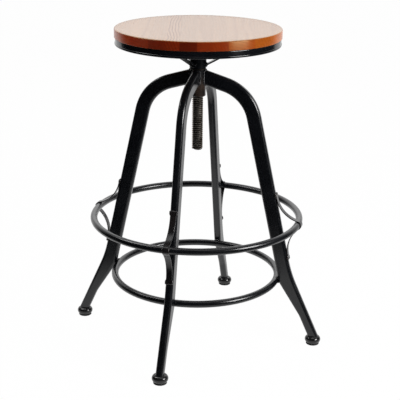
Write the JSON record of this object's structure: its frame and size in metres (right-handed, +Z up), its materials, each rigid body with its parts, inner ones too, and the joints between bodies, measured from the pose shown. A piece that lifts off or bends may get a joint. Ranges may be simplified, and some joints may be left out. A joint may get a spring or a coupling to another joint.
{
  "type": "counter stool",
  "caption": "Counter stool with a round wood seat that screws up and down on a threaded post, splayed bent tube legs, a foot ring on bow strips, a brace ring and squat ball feet.",
  "frame": {"origin": "on the floor, at the axis of the threaded post", "axes": "+Z up along the post; the legs point along -Y (front), +X (right), +Y (back) and -X (left), and the seat's three arms stand 12.3, 132.3 and 252.3 degrees round from +X, as the seat is in the picture"},
  "size_m": [0.5402, 0.5402, 0.647],
  "materials": {
    "black_paint": "smooth glossy black enamel, a little orange peel, worn thin at welds",
    "oiled_steel": "dark oiled steel with a brown tint in the thread",
    "zinc_steel": "zinc plated",
    "stained_wood": "glued strips of ash-like wood, red-brown stain under satin lacquer",
    "foot_plastic": "glossy black moulded plastic",
    "pad_rubber": "matt black rubber"
  },
  "bodies": {
    "base": {"threaded_collar": "black_paint", "foot_ring": "black_paint", "brace_ring": "black_paint", "leg_front": "black_paint", "leg_right": "black_paint", "leg_back": "black_paint", "leg_left": "black_paint", "ring_bow_front": "black_paint", "ring_bow_right": "black_paint", "ring_bow_back": "black_paint", "ring_bow_left": "black_paint", "ball_foot_front": "foot_plastic", "ball_foot_right": "foot_plastic", "ball_foot_back": "foot_plastic", "ball_foot_left": "foot_plastic", "foot_pad_front": "pad_rubber", "foot_pad_right": "pad_rubber", "foot_pad_back": "pad_rubber", "foot_pad_left": "pad_rubber"},
    "lift": {"thrust_washer": "oiled_steel"},
    "seat": {"wood_seat": "stained_wood", "seat_ring": "black_paint", "seat_hub": "black_paint", "lift_screw": "oiled_steel", "hub_pin": "zinc_steel", "wood_screws": "zinc_steel", "arm_right": "black_paint", "arm_back": "black_paint", "arm_front": "black_paint", "strut_right": "black_paint", "strut_back": "black_paint", "strut_front": "black_paint"}
  },
  "joints": [
    {"name": "seat_lift", "type": "slide", "parent": "base", "child": "lift", "axis": [0, 0, 1], "range_m": [0, 0.1]},
    {"name": "seat_turn", "type": "hinge", "parent": "lift", "child": "seat", "pos_m": [0, 0, 0.567], "axis": [0, 0, 1], "range_deg": [0, 9000]}
  ],
  "couplings": [
    {"joint": "seat_lift", "follows": "seat_turn", "m_per_rad": 0.00063662}
  ]
}
